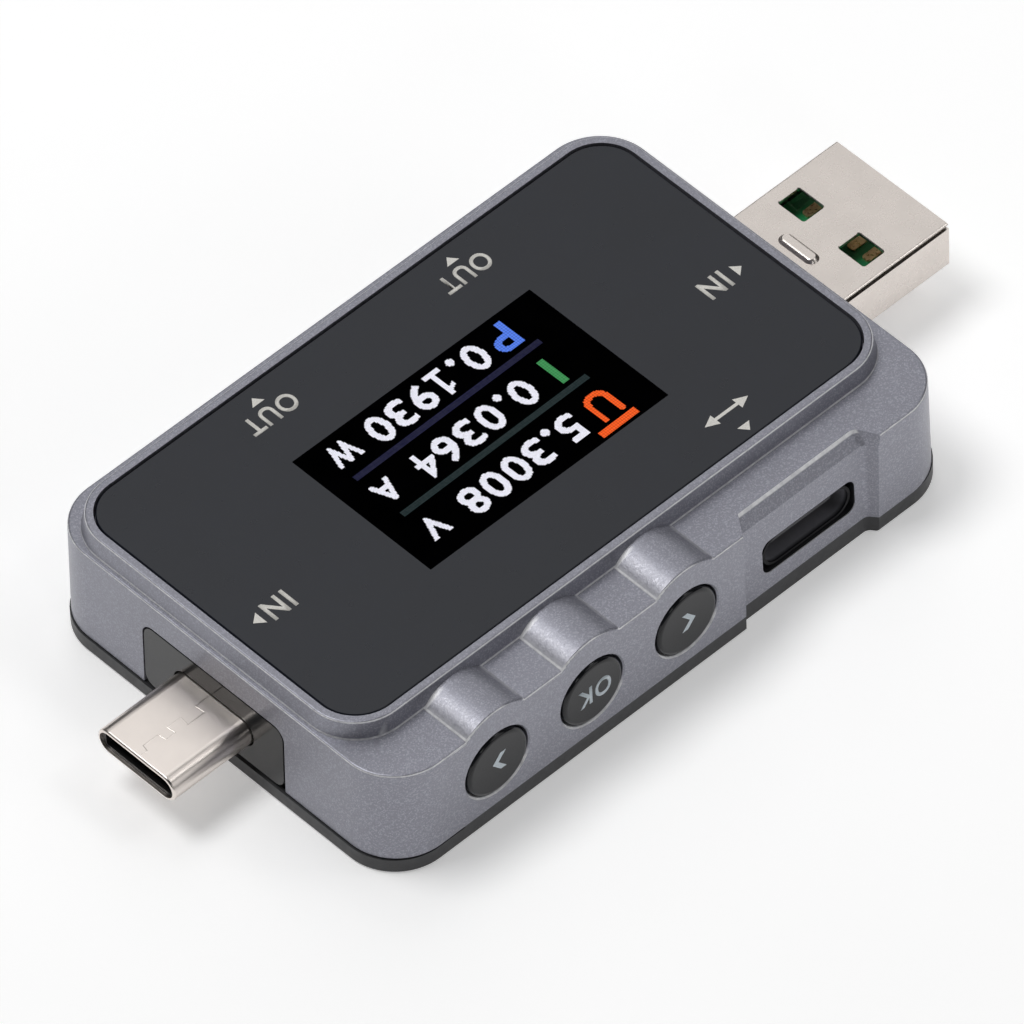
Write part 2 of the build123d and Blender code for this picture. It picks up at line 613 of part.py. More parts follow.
# ---------------------------------------------------------------- USB-A outlet
a_out_back = OUT_FRONT_Y - A_OUT_LEN
with BuildPart() as usb_a_outlet_shell:
    with BuildSketch(Plane.XZ.offset(-OUT_FRONT_Y)):
        with Locations((A_OUT_X, A_OUT_Z)):
            RectangleRounded(A_OUT_W, A_OUT_H, 0.35)
            RectangleRounded(A_OUT_W - 2 * A_SHEET, A_OUT_H - 2 * A_SHEET, 0.15, mode=Mode.SUBTRACT)
    extrude(amount=A_OUT_LEN)
    # sprung fingers, cut free on three sides in the top and bottom
    for finger_z in (A_OUT_Z + A_OUT_H / 2, A_OUT_Z - A_OUT_H / 2):
        with BuildSketch(Plane.XY.offset(finger_z - 0.5)):
            for finger_x in (A_OUT_X - 3.2, A_OUT_X + 3.2):
                with Locations((finger_x, OUT_FRONT_Y - 5.0)):
                    Rectangle(2.2, 4.6)
                    with Locations((0, 0.15)):
                        Rectangle(1.6, 4.3, mode=Mode.SUBTRACT)
        extrude(amount=1.0, mode=Mode.SUBTRACT)
save(usb_a_outlet_shell, "usb_a_outlet_shell")

with BuildPart() as usb_a_outlet_tongue:
    with BuildSketch(Plane.XZ.offset(-a_out_back)):
        with Locations((A_OUT_X, A_OUT_Z)):
            Rectangle(A_OUT_W - 2 * A_SHEET, A_OUT_H - 2 * A_SHEET)
    extrude(amount=-2.6)
    fillet(usb_a_outlet_tongue.edges().filter_by(Axis.Y), 0.15)
    with BuildSketch(Plane.XZ.offset(-a_out_back)):
        with Locations((A_OUT_X, A_TONGUE_Z)):
            RectangleRounded(11.1, A_TONGUE_T, 0.3)
    extrude(amount=-(A_OUT_LEN - 2.4))
save(usb_a_outlet_tongue, "usb_a_outlet_tongue")

with BuildPart() as usb_a_outlet_contacts:
    with BuildSketch(Plane.XZ.offset(-(a_out_back + 2.6))):
        for offset_x in (-3.5, -1.0, 1.0, 3.5):
            with Locations((A_OUT_X + offset_x, A_TONGUE_Z - A_TONGUE_T / 2 - 0.1)):
                Rectangle(1.0, 0.2)
    extrude(amount=-7.2)
save(usb_a_outlet_contacts, "usb_a_outlet_contacts")

# ---------------------------------------------------------------- buttons and their switches
cap_face_y = -(wall_y + CAP_PROUD)
flange_front_y = -(inner_y - FLANGE_SLACK)


def button(name, x):
    """A round cap with a retaining flange and a stem that meets the switch's plunger."""
    with BuildPart() as cap:
        with BuildSketch(Plane.XZ.offset(-cap_face_y)):
            with Locations((x, BUTTON_Z)):
                Circle(BUTTON_R)
        extrude(amount=-(flange_front_y - cap_face_y))
        fillet(cap.edges().group_by(Axis.Y)[0], CAP_EDGE_R)
        with BuildSketch(Plane.XZ.offset(-flange_front_y)):
            with Locations((x, BUTTON_Z)):
                RectangleRounded(FLANGE_W, FLANGE_H, 1.2)
        extrude(amount=-FLANGE_DEPTH)
        with BuildSketch(Plane.XZ.offset(-flange_front_y)):
            with Locations((x, BUTTON_Z)):
                Circle(STEM_R)
        extrude(amount=-(STEM_END_Y - flange_front_y))
    save(cap, f"button_cap_{name}")
    with BuildPart() as plunger:
        with BuildSketch(Plane.XZ.offset(-STEM_END_Y)):
            with Locations((x, PLUNGER_Z)):
                RectangleRounded(PLUNGER_W, PLUNGER_H, 0.15)
        extrude(amount=-(PLUNGER_END_Y - STEM_END_Y))
    save(plunger, f"switch_plunger_{name}")


for button_name, button_x in zip(BUTTON_NAMES, BUTTON_XS):
    button(button_name, button_x)

with BuildPart() as tact_switches:
    with BuildSketch(Plane.XY.offset(board_top)):
        with Locations(*[(x, SWITCH_FRONT_Y + SWITCH_DEPTH / 2) for x in BUTTON_XS]):
            Rectangle(SWITCH_L, SWITCH_DEPTH)
    extrude(amount=SWITCH_H)
    with BuildSketch(Plane.XZ.offset(-SWITCH_FRONT_Y)):
        with Locations(*[(x, PLUNGER_Z) for x in BUTTON_XS]):
            Rectangle(PLUNGER_W + 0.24, PLUNGER_H + 0.24)
    extrude(amount=-(PLUNGER_END_Y + BUTTON_TRAVEL + 0.15 - SWITCH_FRONT_Y), mode=Mode.SUBTRACT)
save(tact_switches, "tact_switches")


# ---------------------------------------------------------------- parts soldered to the board
def chips(label, size, places, edge=0.1):
    """A group of equal box-shaped components standing on the board."""
    length, width, height = size
    with BuildPart() as group:
        with BuildSketch(Plane.XY.offset(board_top)):
            with Locations(*places):
                Rectangle(length, width)
        extrude(amount=height)
        chamfer(group.faces().filter_by(Axis.Z).group_by(Axis.Z)[-1].edges(), edge)
    save(group, label)


chips("microcontroller", (7.0, 7.0, 1.0), [(-3.5, -6.5)])
chips("protocol_controller", (4.0, 4.0, 0.85), [(-12.0, 4.5)])
chips("voltage_regulator", (4.5, 2.6, 1.5), [(-12.5, -7.5)], 0.15)
chips("current_shunt", (6.4, 3.2, 0.7), [(19.6, 1.6)], 0.12)
chips("current_amplifier", (3.0, 3.0, 1.0), [(20.0, -3.0)])
chips("power_inductor", (4.0, 4.0, 2.0), [(4.6, -7.0)], 0.3)
chips("power_switches", (3.3, 3.3, 0.9), [(-21.0, 7.6), (-7.0, 7.2)])
chips("crystal", (3.2, 2.5, 0.8), [(-6.2, 0.6)])
chips(
    "ceramic_capacitors",
    (1.6, 0.8, 0.8),
    [(-10.0, -2.6), (-10.0, -4.2), (1.8, -2.6), (1.8, -1.0), (-14.2, 8.0), (9.4, -3.6), (9.4, -5.2)]
    + [(-1.6, 1.6), (0.6, 4.2), (15.2, -6.4)],
    0.08,
)
chips(
    "chip_resistors",
    (1.0, 0.5, 0.35),
    [(-3.4 + 1.5 * i, 5.6) for i in range(4)] + [(11.6, -4.0 - 1.1 * i) for i in range(4)],
    0.05,
)

# ---------------------------------------------------------------- cover screws
with BuildPart() as cover_screws:
    for screw_x, screw_y in post_points():
        with BuildSketch(Plane.XZ.offset(-screw_y)):
            with BuildLine():
                Polyline(
                    (screw_x, 0.15),
                    (screw_x + SCREW_HEAD_R, 0.15),
                    (screw_x + SCREW_R - 0.02, 0.15 + SCREW_HEAD_H),
                    (screw_x + SCREW_R - 0.02, SCREW_LEN),
                    (screw_x, SCREW_LEN + 0.4),
                    close=True,
                )
            make_face()
        revolve(axis=Axis((screw_x, screw_y, 0), (0, 0, 1)))
    # cross recesses
    with BuildSketch(Plane.XY):
        with Locations(*post_points()):
            Rectangle(2.0, 0.45)
            Rectangle(0.45, 2.0)
    extrude(amount=0.75, mode=Mode.SUBTRACT)
save(cover_screws, "cover_screws")
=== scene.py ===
import math

import bmesh
import bpy
import numpy as np
from mathutils import Matrix, Quaternion, Vector


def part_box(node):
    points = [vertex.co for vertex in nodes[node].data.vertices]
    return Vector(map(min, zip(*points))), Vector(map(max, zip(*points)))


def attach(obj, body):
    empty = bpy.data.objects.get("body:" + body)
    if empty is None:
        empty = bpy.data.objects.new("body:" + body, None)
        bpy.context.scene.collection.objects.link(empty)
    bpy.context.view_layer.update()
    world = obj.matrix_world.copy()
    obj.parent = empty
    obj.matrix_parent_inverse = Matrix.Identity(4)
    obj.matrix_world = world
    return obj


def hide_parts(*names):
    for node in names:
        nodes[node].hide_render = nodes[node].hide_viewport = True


# USB power meter, metres. +X points to the USB-A plug, +Y to the side with the two outlets, +Z up.
# Text and marks are read from the +Y side: their up is -Y and they run towards -X.
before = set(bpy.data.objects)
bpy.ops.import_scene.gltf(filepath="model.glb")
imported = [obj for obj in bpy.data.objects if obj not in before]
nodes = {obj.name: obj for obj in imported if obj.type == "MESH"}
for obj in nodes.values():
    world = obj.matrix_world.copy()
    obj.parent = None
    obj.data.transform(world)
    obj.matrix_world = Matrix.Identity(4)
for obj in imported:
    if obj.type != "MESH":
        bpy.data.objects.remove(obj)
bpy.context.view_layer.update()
MM = 0.001
CASING = "meter"
BUTTONS = ("left", "middle", "right")


def mm(*lengths):
    """Lengths in millimetres, as a tuple in metres."""
    return tuple(length * MM for length in lengths)


def scaled(colour, share):
    return tuple(channel * share for channel in colour)


def sky_direction(azimuth, elevation):
    """Unit vector towards an azimuth, counted from +X, and an elevation; both in radians."""
    flat = math.cos(elevation)
    return Vector((math.cos(azimuth) * flat, math.sin(azimuth) * flat, math.sin(elevation)))


def add_object(name, data):
    made = bpy.data.objects.new(name, data)
    bpy.context.scene.collection.objects.link(made)
    return made


# ---------------------------------------------------------------- camera
AIM = Vector((-0.906, -2.157, 6.0)) * MM
CAMERA_DISTANCE = 1.1166             # metres
CAMERA_AZIMUTH = math.radians(-131.65)
CAMERA_ELEVATION = math.radians(48.68)
CAMERA_ROLL = math.radians(-2.58)
LENS = 536.4                         # focal length and sensor width in millimetres
SENSOR = 36


def make_camera():
    """A long lens, far away, above the side with the buttons."""
    data = bpy.data.cameras.new("camera")
    data.sensor_width = SENSOR
    data.lens = LENS
    data.clip_end = 50
    camera = add_object("camera", data)
    back = sky_direction(CAMERA_AZIMUTH, CAMERA_ELEVATION)
    camera.location = AIM + back * CAMERA_DISTANCE
    camera.rotation_mode = "QUATERNION"
    camera.rotation_quaternion = back.to_track_quat("Z", "Y") @ Quaternion((0, 0, 1), CAMERA_ROLL)
    bpy.context.scene.camera = camera


# ---------------------------------------------------------------- floor and light
WORLD_LIGHT = 0.02
FLOOR_REACH = 6.0                    # metres from the middle to each side
FLOOR_Z = -0.02 * MM                 # just under the casing's underside
FLOOR_GLOW = 0.35                    # the white sweep is lit from below as well
LIGHT_DISTANCE = 0.8                 # metres
# name, azimuth from +X and elevation in degrees, diameter in metres, radiance
SOFTBOXES = (
    ("key_light", 130, 68, 0.36, 7.8),
    ("large_light", 46, 46, 0.6, 0.82),
    ("edge_light", -40, 54, 0.18, 4.0),
    ("side_light", -14, 60, 0.3, 1.35),
    ("top_light", 72, 68, 0.36, 1.6),
    ("right_light", 45, 18, 0.36, 1.2),
    ("front_light", 298, 26, 0.5, 0.95),
    ("glint_light", 252, 25, 0.12, 6.0),
)


def make_stage():
    """A plain pale floor under a uniform sky, lit by round soft boxes."""
    mesh = bpy.data.meshes.new("floor")
    corners = [(x * FLOOR_REACH, y * FLOOR_REACH, 0) for x, y in ((-1, -1), (1, -1), (1, 1), (-1, 1))]
    mesh.from_pydata(corners, [], [(0, 1, 2, 3)])
    floor = add_object("floor", mesh)
    floor.location.z = FLOOR_Z
    paper = Shader("floor_paper", roughness=0.9)
    paper.colour(paper.noise(40.0), (0.94, 0.94, 0.94), (0.96, 0.96, 0.96))
    paper.bsdf.inputs["Emission Color"].default_value = (1, 1, 1, 1)
    paper.bsdf.inputs["Emission Strength"].default_value = FLOOR_GLOW
    mesh.materials.append(paper.material)
    world = bpy.data.worlds.new("studio")
    world.use_nodes = True
    world.node_tree.nodes["Background"].inputs["Strength"].default_value = WORLD_LIGHT
    world.node_tree.nodes["Background"].inputs["Color"].default_value = (1, 1, 1, 1)
    bpy.context.scene.world = world
    for name, azimuth, elevation, diameter, radiance in SOFTBOXES:
        data = bpy.data.lights.new(name, "AREA")
        data.shape = "DISK"
        data.size = diameter
        data.energy = radiance * math.pi * math.pi * (diameter / 2) ** 2
        lamp = add_object(name, data)
        away = sky_direction(math.radians(azimuth), math.radians(elevation))
        lamp.location = away * LIGHT_DISTANCE
        lamp.rotation_mode = "QUATERNION"
        lamp.rotation_quaternion = away.to_track_quat("Z", "Y")
    bpy.context.scene.view_settings.view_transform = "Standard"


# ---------------------------------------------------------------- materials
class Shader:
    """One procedural material; sizes and depths of textures are in millimetres."""

    def __init__(
        self, name, metallic=0.0, roughness=0.5, ior=1.5, specular=0.5, coat=0.0, coat_roughness=0.1
    ):
        self.material = bpy.data.materials.new(name)
        self.material.use_nodes = True
        self.tree = self.material.node_tree
        self.bsdf = self.tree.nodes["Principled BSDF"]
        for socket, value in (
            ("Metallic", metallic),
            ("Roughness", roughness),
            ("IOR", ior),
            ("Specular IOR Level", specular),
            ("Coat Weight", coat),
            ("Coat Roughness", coat_roughness),
        ):
            self.bsdf.inputs[socket].default_value = value
        self.place = self.tree.nodes.new("ShaderNodeTexCoord").outputs["Object"]
        self.normal = None

    def add(self, kind, **settings):
        node = self.tree.nodes.new(kind)
        for key, value in settings.items():
            setattr(node, key, value)
        return node

    def link(self, source, target):
        self.tree.links.new(source, target)

    def noise(self, size, detail=2.0, stretch=None):
        """Soft noise whose features are about size millimetres across."""
        node = self.add("ShaderNodeTexNoise")
        node.inputs["Scale"].default_value = 1 / (size * MM)
        node.inputs["Detail"].default_value = detail
        self.link(self.stretched(stretch), node.inputs["Vector"])
        return node.outputs["Fac"]

    def cells(self, size):
        """A random value for each cell of about size millimetres."""
        node = self.add("ShaderNodeTexVoronoi")
        node.inputs["Scale"].default_value = 1 / (size * MM)
        self.link(self.place, node.inputs["Vector"])
        grey = self.add("ShaderNodeSeparateColor")
        self.link(node.outputs["Color"], grey.inputs["Color"])
        return grey.outputs["Red"]

    def stretched(self, stretch):
        if stretch is None:
            return self.place
        node = self.add("ShaderNodeMapping")
        node.inputs["Scale"].default_value = stretch
        self.link(self.place, node.inputs["Vector"])
        return node.outputs["Vector"]

    def maths(self, operation, first, second=None):
        node = self.add("ShaderNodeMath", operation=operation)
        for value, socket in zip((first, second), node.inputs):
            if value is None:
                continue
            if isinstance(value, (int, float)):
                socket.default_value = value
            else:
                self.link(value, socket)
        return node.outputs["Value"]

    def product(self, first, *others):
        for other in others:
            first = self.maths("MULTIPLY", first, other)
        return first

    def largest(self, first, *others):
        for other in others:
            first = self.maths("MAXIMUM", first, other)
        return first

    def axes(self, vector):
        """X, Y and Z of a vector, as three sockets."""
        node = self.add("ShaderNodeSeparateXYZ")
        self.link(vector, node.inputs["Vector"])
        return [node.outputs[axis] for axis in "XYZ"]

    def remap(self, value, low, high, start=0.3, end=0.7):
        """Spread value, from start to end, over low to high."""
        node = self.add("ShaderNodeMapRange")
        self.link(value, node.inputs["Value"])
        for socket, number in (("From Min", start), ("From Max", end), ("To Min", low), ("To Max", high)):
            node.inputs[socket].default_value = number
        return node.outputs["Result"]

    def above(self, value, fade):
        """0 before the fade's start, 1 past its end."""
        return self.remap(value, 0, 1, *fade)

    def below(self, value, fade):
        """1 before the fade's start, 0 past its end."""
        return self.remap(value, 1, 0, *fade)

    def blend(self, factor, first, second):
        """Mix two colours, each a tuple or a socket."""
        node = self.add("ShaderNodeMix", data_type="RGBA")
        self.link(factor, node.inputs["Factor"])
        for value, socket in ((first, node.inputs["A"]), (second, node.inputs["B"])):
            if isinstance(value, tuple):
                socket.default_value = (*value, 1)
            else:
                self.link(value, socket)
        return node.outputs["Result"]

    def clouds(self, factor, first, second):
        """Two colours in clouds, from a noise or from cells."""
        return self.blend(self.remap(factor, 0, 1), first, second)

    def base(self, colour):
        self.link(colour, self.bsdf.inputs["Base Color"])

    def colour(self, factor, first, second):
        """Clouds of two base colours."""
        self.base(self.clouds(factor, first, second))

    def vary_roughness(self, factor, low, high):
        self.link(self.remap(factor, low, high), self.bsdf.inputs["Roughness"])

    def bump(self, height, depth, strength=1.0):
        """Raise the surface by up to depth millimetres; later bumps add to earlier ones."""
        node = self.add("ShaderNodeBump")
        node.inputs["Distance"].default_value = depth * MM
        node.inputs["Strength"].default_value = strength
        self.link(height, node.inputs["Height"])
        if self.normal is not None:
            self.link(self.normal, node.inputs["Normal"])
        self.normal = node.outputs["Normal"]
        self.link(self.normal, self.bsdf.inputs["Normal"])


GUNMETAL = (0.262, 0.264, 0.306)
# colours of the casing's painted light: paler flanks, near-white highlights and near-black shade in the
# openings
LIT_FLANK_GUNMETAL = (0.44, 0.44, 0.485)
HIGHLIGHT_BRIGHT = (0.95, 0.95, 0.97)
OPENING_SHADE_DARK = (0.02, 0.02, 0.022)
PAINT_METALLIC = 0.55
# Where the casing's colour changes for its painted highlights and painted shade: each pair is the start and
# the end of a fade along one axis.
EDGES_FROM_Z = mm(10.12, 10.2)
HOLES_TO_Z = mm(8.9, 9.0)            # the tops of the button holes and of the side openings
FOOT_FROM_Y = mm(-16.6, -16.4)
FOOT_FROM_Z = mm(10.38, 10.42)
FOOT_TO_Z = mm(10.54, 10.62)
HUMPS_TO_Y = mm(-13.9, -13.8)
HUMPS_FROM_Z = mm(10.4, 10.44)
CREASE_TO_Z = mm(10.5, 10.56)
BACK_FROM_Y = mm(-14.5, -14.4)
RIM_TO_Y = mm(-18.2, -18.0)
RIM_FROM_Z = mm(10.42, 10.5)
OPENINGS_TO_X = mm(20.0, 20.1)
OPENINGS_TO_Y = mm(17.9, 17.93)
RECESS_LEAN = 0.03                   # the recess wall leans outwards towards its foot


def shell_paint():
    """Gunmetal paint: fine flakes that catch the light over a slight orange peel, with painted highlights on
    its edges and on the humps' left flanks, and painted shade inside the openings.
    """
    paint = Shader("shell_paint", coat=0.12, coat_roughness=0.25)
    x, y, z = paint.axes(paint.place)
    rightward, _, upward = paint.axes(paint.add("ShaderNodeNewGeometry").outputs["Normal"])
    flakes = paint.cells(0.1)
    body = paint.clouds(paint.noise(9.0), scaled(GUNMETAL, 0.97), scaled(GUNMETAL, 1.03))
    body = paint.blend(paint.above(flakes, (0.5, 1.0)), body, scaled(GUNMETAL, 1.45))

    # painted highlights on the broken edges of the shoulder, the humps and the plateau, which face neither up
    # nor sideways
    tilted = paint.product(paint.above(upward, (0.32, 0.44)), paint.below(upward, (0.74, 0.84)))
    edge = paint.product(tilted, paint.above(z, EDGES_FROM_Z))
    # painted highlights also on the foot of the plateau and on the ring around each button hole
    steep = paint.product(paint.above(y, FOOT_FROM_Y), paint.below(upward, (0.3, 0.4)))
    foot = paint.product(steep, paint.above(z, FOOT_FROM_Z), paint.below(z, FOOT_TO_Z))
    low = paint.below(z, HOLES_TO_Z)
    ring = paint.product(paint.above(upward, (0.2, 0.35)), low)
    edge = paint.largest(edge, foot, ring)
    # painted light on the humps' left flanks, which face the light: paler, with painted highlights along
    # their foot and their back
    flank = paint.product(
        paint.above(z, HUMPS_FROM_Z),
        paint.below(y, HUMPS_TO_Y),
        paint.below(rightward, (-0.42, -0.2)),
    )
    pale = paint.product(flank, paint.remap(paint.noise(0.3, 3.0), 0.3, 1.0))
    body = paint.blend(pale, body, LIT_FLANK_GUNMETAL)
    bright = paint.largest(paint.below(z, CREASE_TO_Z), paint.above(y, BACK_FROM_Y))
    edge = paint.largest(edge, paint.product(flank, bright))
    # the right half of each hump's rim, facing away from the light, gets no painted highlight
    rim = paint.product(paint.below(y, RIM_TO_Y), paint.above(z, RIM_FROM_Z))
    right_half_rim = paint.product(rim, paint.above(rightward, (0.06, 0.2)))
    edge = paint.product(edge, paint.below(right_half_rim, (0, 1)))
    # painted highlight: patchy near-white on all these edges
    painted_highlight = paint.product(edge, paint.remap(paint.noise(0.5, 3.0), 0.6, 1.0))
    body = paint.blend(painted_highlight, body, HIGHLIGHT_BRIGHT)

    # painted shade: near black inside the openings of the long sides
    outward = paint.maths("ADD", paint.maths("ABSOLUTE", y), paint.product(z, RECESS_LEAN))
    opening_shade = paint.product(
        low,
        paint.below(outward, OPENINGS_TO_Y),
        paint.below(paint.maths("ABSOLUTE", x), OPENINGS_TO_X),
    )
    paint.base(paint.blend(opening_shade, body, OPENING_SHADE_DARK))
    # the metallic sheen fades out where highlights and shade are painted
    painted_light_areas = paint.largest(opening_shade, painted_highlight)
    paint.link(paint.remap(painted_light_areas, PAINT_METALLIC, 0.0, 0, 1), paint.bsdf.inputs["Metallic"])
    paint.vary_roughness(flakes, 0.36, 0.46)
    paint.bump(paint.noise(0.5, 1.0), 0.006)
    paint.bump(paint.noise(0.13, 2.0), 0.010)
    return paint.material


def moulded_plastic(name, colour, roughness=0.5, grain=0.16, depth=0.008, metallic=0.0):
    """Moulded plastic with a fine eroded grain and faint flow clouds."""
    plastic = Shader(name, metallic=metallic)
    plastic.colour(plastic.noise(3.0), scaled(colour, 0.9), scaled(colour, 1.1))
    plastic.vary_roughness(plastic.noise(0.6), roughness * 0.9, roughness * 1.1)
    plastic.bump(plastic.noise(grain, 2.0), depth)
    return plastic.material


def glossy_plastic(name, colour, roughness=0.14, specular=0.5):
    """Polished plastic: only a long soft waviness and a few faint rub marks."""
    plastic = Shader(name, specular=specular)
    plastic.colour(plastic.noise(2.0), scaled(colour, 0.92), scaled(colour, 1.08))
    plastic.vary_roughness(plastic.noise(0.9, 4.0, stretch=(1.0, 4.0, 1.0)), roughness * 0.8, roughness * 1.3)
    plastic.bump(plastic.noise(1.8, 1.0), 0.004)
    return plastic.material


# Where the painted shadow of the folded seam runs along the near side of the USB-A plug, in metres.
FOLD_FROM_X = mm(28.5, 28.6)
FOLD_Y = mm(-5.56, -5.2)
FOLD_Z = mm(7.2, 7.5)
FOLD_FADE = 0.01 * MM


def nickel(name, light, roughness):
    """Warm satin nickel on stamped sheet: long rolling marks, fine grain, faint tarnish, and a painted shadow
    along the folded seam.
    """
    metal = Shader(name, metallic=1.0)
    warm = (1.0, 0.92, 0.86)
    plating = metal.clouds(metal.noise(2.4, 3.0), scaled(warm, light * 0.97), scaled(warm, light * 1.03))
    # painted shadow: a dark line along the folded seam
    x, y, z = metal.axes(metal.place)
    seam_shadow = metal.above(x, FOLD_FROM_X)
    for value, (low, high) in ((y, FOLD_Y), (z, FOLD_Z)):
        seam_shadow = metal.product(
            seam_shadow,
            metal.above(value, (low - FOLD_FADE, low)),
            metal.below(value, (high, high + FOLD_FADE)),
        )
    metal.base(metal.blend(seam_shadow, plating, (0.14, 0.13, 0.12)))
    metal.vary_roughness(metal.noise(0.9, 3.0), roughness * 0.93, roughness * 1.1)
    metal.bump(metal.noise(0.35, 3.0, stretch=(0.12, 1.0, 1.0)), 0.0018)
    metal.bump(metal.noise(0.12, 2.0), 0.0008)
    return metal.material


MOUTH_TO_Y = mm(-17.5, -17.2)


def socket_shade_and_light():
    """Socket shell painted near black round its mouth as painted shade, and paler deeper in as painted light.
    """
    metal = Shader("socket_black", specular=0.1)
    y = metal.axes(metal.place)[1]
    pale = metal.blend(metal.noise(0.6, 3.0), (0.16, 0.16, 0.18), (0.22, 0.22, 0.24))
    # painted shade at the mouth, painted light deeper in
    metal.base(metal.blend(metal.above(y, MOUTH_TO_Y), (0.014, 0.014, 0.016), pale))
    metal.vary_roughness(metal.noise(0.5), 0.45, 0.55)
    metal.bump(metal.noise(0.1, 2.0), 0.003)
    return metal.material


def gold():
    """Gold flash on the contacts, rubbed along their length."""
    metal = Shader("contact_gold", metallic=1.0)
    metal.colour(metal.noise(0.5, 3.0), (0.72, 0.5, 0.28), (0.9, 0.68, 0.4))
    metal.vary_roughness(metal.noise(0.25), 0.22, 0.42)
    metal.bump(metal.noise(0.2, 2.0, stretch=(0.1, 1.0, 1.0)), 0.003)
    return metal.material


def solder_mask():
    """Green board: copper tracks show as a lighter, slightly raised green."""
    board = Shader("board_green", roughness=0.35, coat=0.3, coat_roughness=0.2)
    across = board.noise(1.1, 0.0, stretch=(0.25, 1.0, 1.0))
    along = board.noise(1.1, 0.0, stretch=(1.0, 0.25, 1.0))
    tracks = board.largest(board.above(across, (0.56, 0.6)), board.above(along, (0.6, 0.64)))
    board.base(board.blend(tracks, (0.01, 0.2, 0.07), (0.02, 0.3, 0.1)))
    board.bump(tracks, 0.02)
    board.bump(board.noise(0.2), 0.004)
    return board.material


def moulded_epoxy(name, colour):
    """Chip package: dull, speckled with filler."""
    epoxy = Shader(name)
    epoxy.colour(epoxy.cells(0.07), scaled(colour, 0.8), scaled(colour, 1.5))
    epoxy.vary_roughness(epoxy.noise(0.4), 0.5, 0.7)
    epoxy.bump(epoxy.noise(0.08, 2.0), 0.006)
    return epoxy.material


def printed_ink(name, colour):
    """Screen-printed ink with a slightly uneven film."""
    ink = Shader(name, roughness=0.5)
    ink.colour(ink.noise(0.12, 3.0), scaled(colour, 0.88), scaled(colour, 1.06))
    ink.bump(ink.noise(0.1), 0.002)
    return ink.material


def panel_film():
    """Charcoal satin sheet with a very fine hard coat."""
    film = Shader("panel_print", specular=0.46)
    base = (0.0045, 0.0070, 0.0145)
    film.colour(film.noise(5.0, 3.0), scaled(base, 0.92), scaled(base, 1.08))
    film.vary_roughness(film.noise(1.5, 4.0), 0.27, 0.33)
    film.bump(film.noise(0.1, 1.0), 0.0012)
    return film.material


def window_black():
    """Clear window over an unlit display: deep black with hardly any glare."""
    black = Shader("window_black", roughness=0.3, ior=1.0, specular=0.0)
    black.colour(black.noise(3.0), (0.0002, 0.0002, 0.0003), (0.0006, 0.0006, 0.0008))
    black.bump(black.noise(2.5, 1.0), 0.002)
    return black.material


def lit_pixels(name, colour, power=1.0, group=1):
    """Lit display pixels: each cell glows a little differently, with dark lines between groups of cells."""
    glow = Shader(name, roughness=0.4, specular=0.05)
    level = glow.remap(glow.cells(0.1), 0.9, 1.04, 0, 1)
    for value, pitch in zip(glow.axes(glow.place), (PIXEL_X, PIXEL_Y)):
        phase = glow.maths("FRACT", glow.product(value, 1 / (pitch * group * MM)))
        off_centre = glow.maths("ABSOLUTE", glow.maths("SUBTRACT", phase, 0.5))
        level = glow.product(level, glow.remap(off_centre, 1.0, 0.55, 0.34, 0.48))
    tint = glow.blend(level, (0.0, 0.0, 0.0), colour)
    glow.link(tint, glow.bsdf.inputs["Emission Color"])
    glow.bsdf.inputs["Emission Strength"].default_value = power
    glow.colour(glow.noise(0.3), (0.01, 0.01, 0.01), (0.02, 0.02, 0.02))
    return glow.material


def paint_nodes(names, material):
    """Give CAD nodes a material."""
    for name in names:
        slots = nodes[name].data.materials
        slots.clear()
        slots.append(material)


# ---------------------------------------------------------------- meshes
def rounded_rectangle(centre, length, width, radius, steps=12):
    """Points of a rounded rectangle, anticlockwise, in millimetres."""
    points = []
    for corner in range(4):
        start = math.radians(90 * corner)
        away_x = (1, -1, -1, 1)[corner] * (length / 2 - radius)
        away_y = (1, 1, -1, -1)[corner] * (width / 2 - radius)
        for step in range(steps + 1):
            angle = start + math.radians(90) * step / steps
            x = centre[0] + away_x + radius * math.cos(angle)
            y = centre[1] + away_y + radius * math.sin(angle)
            points.append((x, y))
    return points


def turned(points, centre, angle):
    """Turn points about a centre."""
    c, s = math.cos(angle), math.sin(angle)
    moved = []
    for x, y in points:
        dx, dy = x - centre[0], y - centre[1]
        moved.append((centre[0] + c * dx - s * dy, centre[1] + s * dx + c * dy))
    return moved


def finish_mesh(name, bm, material, body):
    """Make an object of a bmesh that is in millimetres, and let it ride on a body."""
    bmesh.ops.recalc_face_normals(bm, faces=bm.faces[:])
    bmesh.ops.scale(bm, vec=(MM, MM, MM), verts=bm.verts[:])
    mesh = bpy.data.meshes.new(name)
    bm.to_mesh(mesh)
    bm.free()
    mesh.materials.append(material)
    piece = add_object(name, mesh)
    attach(piece, body)
    return piece


def stacked_loops(bm, loops):
    """Join rings of equal point counts, given with their heights, by walls; return the rings of vertices."""
    rings = [[bm.verts.new((x, y, z)) for x, y in points] for z, points in loops]
    for lower, upper in zip(rings, rings[1:]):
        count = len(lower)
        for i in range(count):
            j = (i + 1) % count
            bm.faces.new((lower[i], lower[j], upper[j], upper[i]))
    return rings


def loop_edges(bm, ring):
    return [bm.edges.get((a, b)) or bm.edges.new((a, b)) for a, b in zip(ring, ring[1:] + ring[:1])]


# ---------------------------------------------------------------- front panel and window
WINDOW_CENTRE = (-0.38, 1.48)
WINDOW_L = 23.95
WINDOW_W = 14.75
WINDOW_R = 0.05
WINDOW_SINK = 0.004
PANEL_R = 3.34
CHAMFER = 0.08


